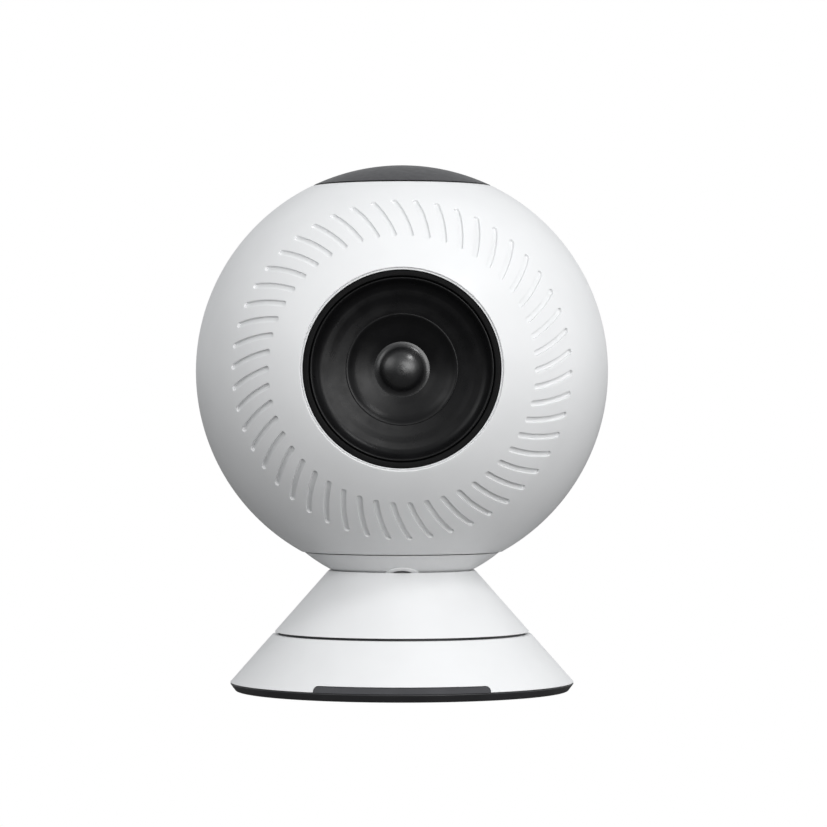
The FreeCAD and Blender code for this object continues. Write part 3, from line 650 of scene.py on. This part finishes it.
def screw_plugs():
    """Four soft-edged plugs that follow the ball."""
    skin = Skin()
    columns = 48
    foot = 34
    turns = [2 * math.pi * j / columns for j in range(columns)]
    radii = [0, 1.2, 2.2, 2.9, 3.2, 3.38, 3.47, PLUG_R]
    drops = [0, 0, 0, 0, 0.02, 0.07, 0.16, 0.32]
    for x, z in screw_places():
        rows = []
        for radius, drop in zip(radii, drops):
            spots = []
            for turn in turns:
                a = x + radius * math.cos(turn)
                b = radius * math.sin(turn) + z - BALL_Z
                depth = math.sqrt((BALL_R - 0.12) ** 2 - a * a - b * b) - drop
                spots.append([a, depth, b + BALL_Z])
            rows.append(skin.ring(spots))
        rows.append(skin.ring([[x + PLUG_R * math.cos(t), foot, z + PLUG_R * math.sin(t)] for t in turns]))
        skin.stitch_all(rows, columns)
        middle = skin.ring([[x, foot, z]])
        skin.faces += [(rows[-1] + j, rows[-1] + (j + 1) % columns, middle) for j in range(columns)]
    return finish_piece("screw_plug_set", skin.mesh(), "head", "white_shell", ["screw_plugs"])


def top_cap():
    """The dark dome on top, with its soft lower edge and the ring wall under it."""
    bottom = CAP_CUT + CAP_GAP
    wall_in = 18.6
    wall_out = 20.5
    wall_foot = 156.6
    lean = math.degrees(math.asin((bottom - BALL_Z) / BALL_R))
    edge = math.sqrt(BALL_R ** 2 - (bottom - BALL_Z) ** 2)
    outline = [(wall_out, bottom), (edge - 0.3, bottom), (edge - 0.1, bottom + 0.06)]
    outline += arc((0, BALL_Z), BALL_R, lean + 0.3, 90, 30)
    outline += arc((0, BALL_Z), BALL_R - 2, 90, 73.2, 12)
    outline += [(wall_in, wall_foot), (wall_out, wall_foot)]
    return finish_piece("top_cap_dome", spin(outline, "Z", 192), "head", "dark_cap", ["top_cap"])


# ---------------------------------------------------------------- the collar bowl


def collar():
    """The bowl under the ball, with its long tilt slot."""
    top = COLLAR_SEAM - SEAM_LINE
    foot = 41.6
    inner = COLLAR_R - 2.5
    high_lean = math.degrees(math.acos((TILT_Z - top) / COLLAR_R))
    inner_lean = math.degrees(math.acos((TILT_Z - foot) / inner))
    outline = bowl(COLLAR_R, 0, high_lean, 40, TILT_Z)
    outline += [(25.3, top), (25.3, 47.4), (26.3, 47.4), (26.3, 49.0), (25.3, 49.4), (24.0, 49.4),
                (24.0, foot)]
    outline += bowl(inner, inner_lean, 0, 20, TILT_Z)
    mesh = carved(spin(outline, "Z", 200), [slot_form(SLOT_HALF, 40, 60)])
    return finish_piece("collar_bowl", mesh, "head", "white_shell", ["collar"])


def slot_ring(half):
    """Spots round the slot at a half width: millimetres across, and degrees towards the rear."""
    steps = 12
    sides = 16
    reach = math.degrees(half / COLLAR_R)
    ring = []
    for way in (1, -1):
        for k in range(sides):
            ring.append((way * half, way * SLOT_END * (2 * k / sides - 1)))
        for k in range(steps):
            bend = math.pi * k / steps
            ring.append((way * half * math.cos(bend), way * (SLOT_END + reach * math.sin(bend))))
    return ring


def slot_point(x, lean, radius):
    """A point on a ball round the tilt centre, x across and lean degrees towards the rear."""
    a = math.radians(lean)
    down = math.sqrt(max(radius ** 2 - x ** 2, 0))
    return (x, down * math.sin(a), TILT_Z - down * math.cos(a))


def slot_form(half, low_radius, high_radius):
    """The slot as a solid, to cut with."""
    ring = slot_ring(half)
    verts = [slot_point(x, lean, radius) for radius in (low_radius, high_radius) for x, lean in ring]
    mesh = mesh_from(verts, bar_faces(len(ring)))
    bm = bmesh.new()
    bm.from_mesh(mesh)
    bmesh.ops.triangulate(bm, faces=[f for f in bm.faces if len(f.verts) > 4])
    bm.to_mesh(mesh)
    bm.free()
    return mesh


def slot_lip():
    """The raised soft lip round the tilt slot, from rings of (half width, rise over the collar)."""
    inner = SLOT_HALF + 0.02
    outer = LIP_HALF
    sunk = -0.9
    section = [(inner, sunk), (inner, LIP_RISE - 0.12), (inner + 0.06, LIP_RISE - 0.03),
               (inner + 0.2, LIP_RISE), (outer - 0.5, LIP_RISE), (outer - 0.22, LIP_RISE - 0.05),
               (outer - 0.06, LIP_RISE - 0.18), (outer, LIP_RISE - 0.38), (outer, sunk)]
    skin = Skin()
    rows = []
    for half, rise in section:
        ring = slot_ring(half)
        rows.append(skin.ring([slot_point(x, lean, COLLAR_R + rise) for x, lean in ring]))
    skin.stitch_all([*rows, rows[0]], len(ring))
    return finish_piece("collar_slot_lip", skin.mesh(), "head", "white_shell")


# ---------------------------------------------------------------- cones and base


def cone_r(z):
    """The cones' radius at a height."""
    return RIM_R - (z - RIM_Z) * CONE_SLOPE


def slope(start, end, steps, inset=0.0):
    """Points on the cones' side after one height up to another, moved in by an inset."""
    heights = [start + (end - start) * k / steps for k in range(1, steps + 1)]
    return [(cone_r(z) - inset, z) for z in heights]


def upper_cone():
    """The turning cone with its dished top and the long hole for the neck post."""
    edge_z = 38.36
    fillet = 0.25
    seam_r = cone_r(SEAM_HIGH)
    outline = [(seam_r - CONE_WALL, SEAM_HIGH), (seam_r - fillet * 1.1, SEAM_HIGH),
               (seam_r - fillet * 0.35, SEAM_HIGH + 0.04), (cone_r(SEAM_HIGH + fillet), SEAM_HIGH + fillet)]
    outline += slope(SEAM_HIGH, edge_z - 0.35, 17)
    outline += [(cone_r(edge_z - 0.1) - 0.03, edge_z - 0.1), (cone_r(edge_z) - 0.1, edge_z - 0.01),
                (cone_r(edge_z) - 0.28, edge_z - 0.06)]
    outline += bowl(DISH_R, 27.8, 0, 25, TILT_Z)[1:]
    outline += bowl(DISH_R + 2.2, 0, 26, 15, TILT_Z)
    outline += slope(34.0, SEAM_HIGH + 1, 7, CONE_WALL)
    mesh = carved(spin(outline, "Z", 200), [stadium(3.8, 14.8, 20, 60)])
    return finish_piece("upper_cone_moulding", mesh, "turntable", "white_shell", ["upper_cone"])


def stadium(half_width, half_length, bottom, top):
    """An upright bar with round ends along Y."""
    outline = [(x, y + half_length - half_width) for x, y in arc((0, 0), half_width, 0, 180, 16)]
    outline += [(x, y - half_length + half_width) for x, y in arc((0, 0), half_width, 180, 360, 16)]
    return prism(outline, bottom, top, "Z")


def window_notch(bottom):
    """The front window's outline, seen from the front."""
    across = WINDOW_HALF - WINDOW_CORNER
    up = WINDOW_TOP - WINDOW_CORNER
    outline = [(WINDOW_HALF, bottom)]
    outline += arc((across, up), WINDOW_CORNER, 0, 90, 8)
    outline += arc((-across, up), WINDOW_CORNER, 90, 180, 8)
    return [*outline, (-WINDOW_HALF, bottom)]


def lower_cone():
    """The still cone, notched for the front window and faced flat for the socket."""
    well_r = 39.0
    well_floor = 13.5
    bush_r = 11.5
    under = 11.5
    outline = [(cone_r(RIM_Z) - CONE_WALL, RIM_Z), (RIM_R - 0.5, RIM_Z), (RIM_R - 0.18, RIM_Z + 0.03),
               (RIM_R - 0.06, RIM_Z + 0.12), (cone_r(RIM_Z + 0.35), RIM_Z + 0.35)]
    outline += slope(RIM_Z + 0.35, SEAM_LOW - 0.3, 12)
    outline += [(cone_r(SEAM_LOW - 0.08) - 0.03, SEAM_LOW - 0.08), (cone_r(SEAM_LOW) - 0.16, SEAM_LOW),
                (well_r, SEAM_LOW), (well_r, well_floor), (bush_r, well_floor), (bush_r, under),
                (cone_r(under) - CONE_WALL, under)]
    facet = prism([(-FACE_HALF, FACE_LOW), (FACE_HALF, FACE_LOW), (FACE_HALF, 9.8), (-FACE_HALF, 9.8)],
                  47.6, 58, "Y")
    notch = prism(window_notch(2.0), -58, -38, "Y")
    mesh = carved(spin(outline, "Z", 240), [notch, facet])
    return finish_piece("lower_cone_moulding", mesh, "base", "white_shell", ["lower_cone"], 24)


def socket_wall():
    """The flat face behind which the power socket sits, with a sill and cheeks that close the cone's wall."""
    outline = [(-8.8, 3.5), (8.8, 3.5), (8.8, 7), (7.6, 9.85), (-7.6, 9.85), (-8.8, 7)]
    step = 6.9
    side = 9.5
    top = 12
    recess = prism([(-FACE_HALF, FACE_LOW), (FACE_HALF, FACE_LOW), (FACE_HALF, step), (side, step),
                    (side, top), (-side, top), (-side, step), (-FACE_HALF, step)], 47.59, 60, "Y")
    hole = prism(socket_ring(0.12), 40, 50, "Y")
    mesh = carved(prism(outline, 44.6, 49.0, "Y"), [recess, hole])
    return finish_piece("socket_wall", mesh, "base", "white_shell", angle=30)


def socket_ring(grow):
    """The socket's long round outline."""
    end_r = 1.63
    side = 4.47 - end_r
    height = 7.15
    ring = arc((side, height), end_r + grow, -90, 90, 12)
    return ring + arc((-side, height), end_r + grow, 90, 270, 12)


def window_skin(inset, columns, rows):
    """One face of the window strip: rows of points that follow the cone at an inset."""
    bottom = RIM_Z + 0.02
    top = WINDOW_TOP - 0.12
    half = WINDOW_HALF - 0.12
    corner = WINDOW_CORNER - 0.1
    soft = 0.25
    spots = []
    for i in range(rows + 1):
        z = bottom + (top - bottom) * i / rows
        over = max(z - (top - corner), 0)
        reach = half - corner + math.sqrt(max(corner ** 2 - over ** 2, 0))
        soften = 0.12 * (1 - min(top - z, soft) / soft) ** 2 if inset < 1 else 0
        r = cone_r(z) - inset - soften
        for j in range(columns + 1):
            x = reach * (2 * j / columns - 1)
            spots.append((x, -math.sqrt(r * r - x * x), z))
    return spots


def front_window():
    """The smoked window along the front of the rim: two faces, and the edge that joins them."""
    columns = 80
    rows = 12
    verts = window_skin(0.10, columns, rows) + window_skin(2.0, columns, rows)
    width = columns + 1
    layer = width * (rows + 1)
    faces = []
    for face in range(2):
        for i in range(rows):
            for j in range(columns):
                a = face * layer + i * width + j
                faces.append((a, a + 1, a + width + 1, a + width))
    edge = list(range(width))
    edge += [i * width + columns for i in range(1, rows + 1)]
    edge += [rows * width + j for j in range(columns - 1, -1, -1)]
    edge += [i * width for i in range(rows - 1, 0, -1)]
    faces += [(a, b, layer + b, layer + a) for a, b in zip(edge, edge[1:] + edge[:1])]
    mesh = mesh_from(verts, faces)
    return finish_piece("front_window_strip", mesh, "base", "dark_window", ["front_window"], 40)


def base_plate():
    """The dark plate under the cone, its edge leaning in."""
    points = [(0, 1.0), (FOOT_R, 1.0), (FOOT_R, PLATE_Z), (PLATE_R, PLATE_Z, 0.5),
              (RIM_R - 0.02, RIM_Z - 0.35, 0.3), (RIM_R - 0.35, RIM_Z - 0.02), (0, RIM_Z - 0.02)]
    return lathe("base_plate_moulding", points, "base", "dark_plate", ["base_plate"], 240)


def foot_pad():
    """The soft disc that the speaker stands on."""
    top = 0.98
    points = [(0, 0), (FOOT_R, 0, 0.3), (FOOT_R - 0.05, top), (0, top)]
    return lathe("foot_pad_disc", points, "base", "foot_rubber", ["foot_pad"], 160)


def turntable_plate():
    """The dark plate whose edge is the line between the cones."""
    points = [(8.0, 14.35), (13.0, 14.35), (13.0, 16.4), (38.6, 16.4, 0.4), (38.6, 19.0), (35.3, 19.0),
              (35.3, 20.8, 0.4), (8.0, 20.8)]
    return lathe("turntable_plate_disc", points, "turntable", "dark_plate", ["turntable_plate"])


# ---------------------------------------------------------------- the driver


def trim_ring():
    """The flat black ring in the shell's mouth and its rolled inner lip."""
    face = TRIM_FRONT + 0.12
    points = [(TRIM_R, SEAT_Y), (TRIM_R, TRIM_FRONT + 0.3, 0.1), (TRIM_R - 0.12, face, 0.1),
              (28.1, face, 0.25), (27.95, TRIM_FRONT + 0.8, 0.2), (27.95, SEAT_Y)]
    mesh = spin(rounded(points), "Y", 240, centre=BALL_CENTRE)
    return finish_piece("driver_trim", mesh, "head", "black_ring", ["trim_ring"])


def curve(points, steps=6):
    """A smooth line through points, each pair joined by a Catmull-Rom stretch."""
    spots = [Vector(p) for p in points]
    spots = [spots[0] * 2 - spots[1], *spots, spots[-1] * 2 - spots[-2]]
    line = []
    for a, b, c, d in zip(spots, spots[1:], spots[2:], spots[3:]):
        for k in range(steps):
            t = k / steps
            line.append(tuple(0.5 * (2 * b + (c - a) * t + (2 * a - 5 * b + 4 * c - d) * t * t
                                     + (3 * b - a - 3 * c + d) * t ** 3)))
    line.append(tuple(spots[-2]))
    return line


def turned_sheet(line, thickness, columns=200):
    """A sheet round the driver's axis: a line, thickened towards the rear."""
    outline = [*line, *[(r, y + thickness) for r, y in reversed(line)]]
    return spin(outline, "Y", columns, centre=BALL_CENTRE)


def surround():
    """The soft roll between the frame and the cone."""
    line = curve([(27.9, -55.6), (27.6, -56.0), (27.2, -56.0), (26.8, -55.6), (26.2, -54.8), (25.3, -53.9),
                  (24.3, -53.4), (23.3, -53.2), (22.3, -53.0), (21.3, -52.7), (20.2, -52.4), (19.0, -52.2),
                  (17.9, -52.05), (17.0, -51.9)])
    mesh = turned_sheet(line, 0.5)
    piece = finish_piece("surround_roll", mesh, None, "surround_rubber", ["surround"], 50)
    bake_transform(piece)
    return piece


def speaker_cone():
    """The shallow cone, from its lip under the surround in to the coil."""
    line = curve([(17.3, -51.4), (16.9, -51.85), (16.4, -51.8), (15.9, -51.5), (15.2, -51.0), (14.2, -50.45),
                  (13.0, -50.0), (11.8, -49.6), (10.4, -49.15), (9.2, -48.7), (8.4, -48.4)])
    return finish_piece("cone_paper", turned_sheet(line, 0.5), "diaphragm", "cone_black", ["speaker_cone"], 50)


def dust_cap():
    """The small dome in the middle, with its skirt."""
    line = [(0, -51.9), *curve([(0.4, -51.9), (2.0, -51.75), (3.6, -51.3), (5.0, -50.6), (6.0, -49.8),
                                (6.8, -49.0), (7.8, -48.5), (9.4, -48.3)])]
    mesh = turned_sheet(line, 0.4, 160)
    return finish_piece("dust_cap_dome", mesh, "diaphragm", "cone_black", ["dust_cap"], 50, "dome_black")


def spider():
    """The corrugated centring disc behind the cone."""
    steps = 96
    line = []
    for k in range(steps + 1):
        share = k / steps
        wave = math.sin(share * 12 * math.pi) * min(1, 6 * share, 6 * (1 - share))
        line.append((22.3 - share * 12.55, -37.95 + 0.55 * wave))
    return finish_piece("spider_disc", turned_sheet(line, 0.25, 144), "head", "spider_cloth", ["spider"], 60)


# ---------------------------------------------------------------- floor, lights and camera


def white_to_camera(tree, plain, white, target):
    """Show one shader to the camera, and the plain one to everything that the light reaches."""
    path = tree.nodes.new("ShaderNodeLightPath")
    mix = tree.nodes.new("ShaderNodeMixShader")
    tree.links.new(path.outputs["Is Camera Ray"], mix.inputs["Fac"])
    tree.links.new(plain, mix.inputs[1])
    tree.links.new(white, mix.inputs[2])
    tree.links.new(mix.outputs["Shader"], target)


def stage_floor():
    """A wide pale floor under the foot."""
    mesh = bpy.data.meshes.new("floor")
    far = 30
    mesh.from_pydata([(-far, -far, 0), (far, -far, 0), (far, far, 0), (-far, far, 0)], [], [(0, 1, 2, 3)])
    floor = bpy.data.objects.new("floor", mesh)
    bpy.context.scene.collection.objects.link(floor)
    look = bpy.data.materials.new("floor_white")
    look.use_nodes = True
    tree = look.node_tree
    shader = tree.nodes["Principled BSDF"]
    shader.inputs["Base Color"].default_value = (0.08, 0.08, 0.08, 1)
    shader.inputs["Roughness"].default_value = 0.9
    shader.inputs["Specular IOR Level"].default_value = 0.0
    shader.inputs["Emission Color"].default_value = (1, 1, 1, 1)
    shader.inputs["Emission Strength"].default_value = 0.076
    glow = tree.nodes.new("ShaderNodeEmission")
    glow.inputs["Color"].default_value = (1, 1, 1, 1)
    surface = tree.nodes["Material Output"].inputs["Surface"]
    white_to_camera(tree, shader.outputs["BSDF"], glow.outputs["Emission"], surface)
    mesh.materials.append(look)


def world():
    """White to the camera, and an even soft grey room to the object; the dark floor under it makes it darker
    below.
    """
    space = bpy.data.worlds.new("room")
    space.use_nodes = True
    bpy.context.scene.world = space
    tree = space.node_tree
    plain = tree.nodes["Background"]
    plain.inputs["Color"].default_value = (0.97, 0.985, 1.0, 1)
    plain.inputs["Strength"].default_value = 0.59
    white = tree.nodes.new("ShaderNodeBackground")
    white.inputs["Color"].default_value = (1, 1, 1, 1)
    white.inputs["Strength"].default_value = 1.0
    surface = tree.nodes["World Output"].inputs["Surface"]
    white_to_camera(tree, plain.outputs["Background"], white.outputs["Background"], surface)


def softbox(name, place, target, size, power):
    """A square soft light aimed at a point."""
    light = bpy.data.lights.new(name, "AREA")
    light.shape = "RECTANGLE"
    light.size = size[0]
    light.size_y = size[1]
    light.energy = power
    lamp = bpy.data.objects.new(name, light)
    lamp.location = place
    aim_at = Vector(target) - Vector(place)
    lamp.rotation_euler = aim_at.to_track_quat("-Z", "Y").to_euler()
    lamp.visible_camera = False
    bpy.context.scene.collection.objects.link(lamp)
    return lamp


def lights():
    """Each light stands 1.4 m off, turned from the front towards the right and lifted, both in degrees."""
    middle = Vector((0, 0, 0.09))
    stands = [("key", 23, 12, 1.0, 9.0), ("front", 0, 25, 0.7, 0.6), ("left", -50, 25, 0.9, 3.6),
              ("right", 98, 5, 0.9, 3.0), ("spark", 38, 42, 0.3, 4.0)]
    for name, turn, lift, width, power in stands:
        across = math.cos(math.radians(lift))
        way = Vector((math.sin(math.radians(turn)) * across, -math.cos(math.radians(turn)) * across,
                      math.sin(math.radians(lift))))
        softbox(name, middle + way * 1.4, middle, (width, min(width, 0.7)), power)


def camera():
    """The photograph's level view, from the front."""
    lens = bpy.data.cameras.new("camera")
    lens.sensor_width = 36
    lens.lens = 155.97
    lens.shift_x = 0.01397
    lens.shift_y = 0.00471
    eye = bpy.data.objects.new("camera", lens)
    eye.location = (0, -1.132, 0.0865)
    eye.rotation_euler = (math.radians(90), 0, 0)
    bpy.context.scene.collection.objects.link(eye)
    bpy.context.scene.camera = eye


paint_cad()
front_shell()
rear_shell()
screw_plugs()
top_cap()
collar()
slot_lip()
upper_cone()
lower_cone()
socket_wall()
front_window()
base_plate()
foot_pad()
turntable_plate()
trim_ring()
surround()
speaker_cone()
dust_cap()
spider()
stage_floor()
world()
lights()
camera()
bpy.context.scene.view_settings.view_transform = "Standard"
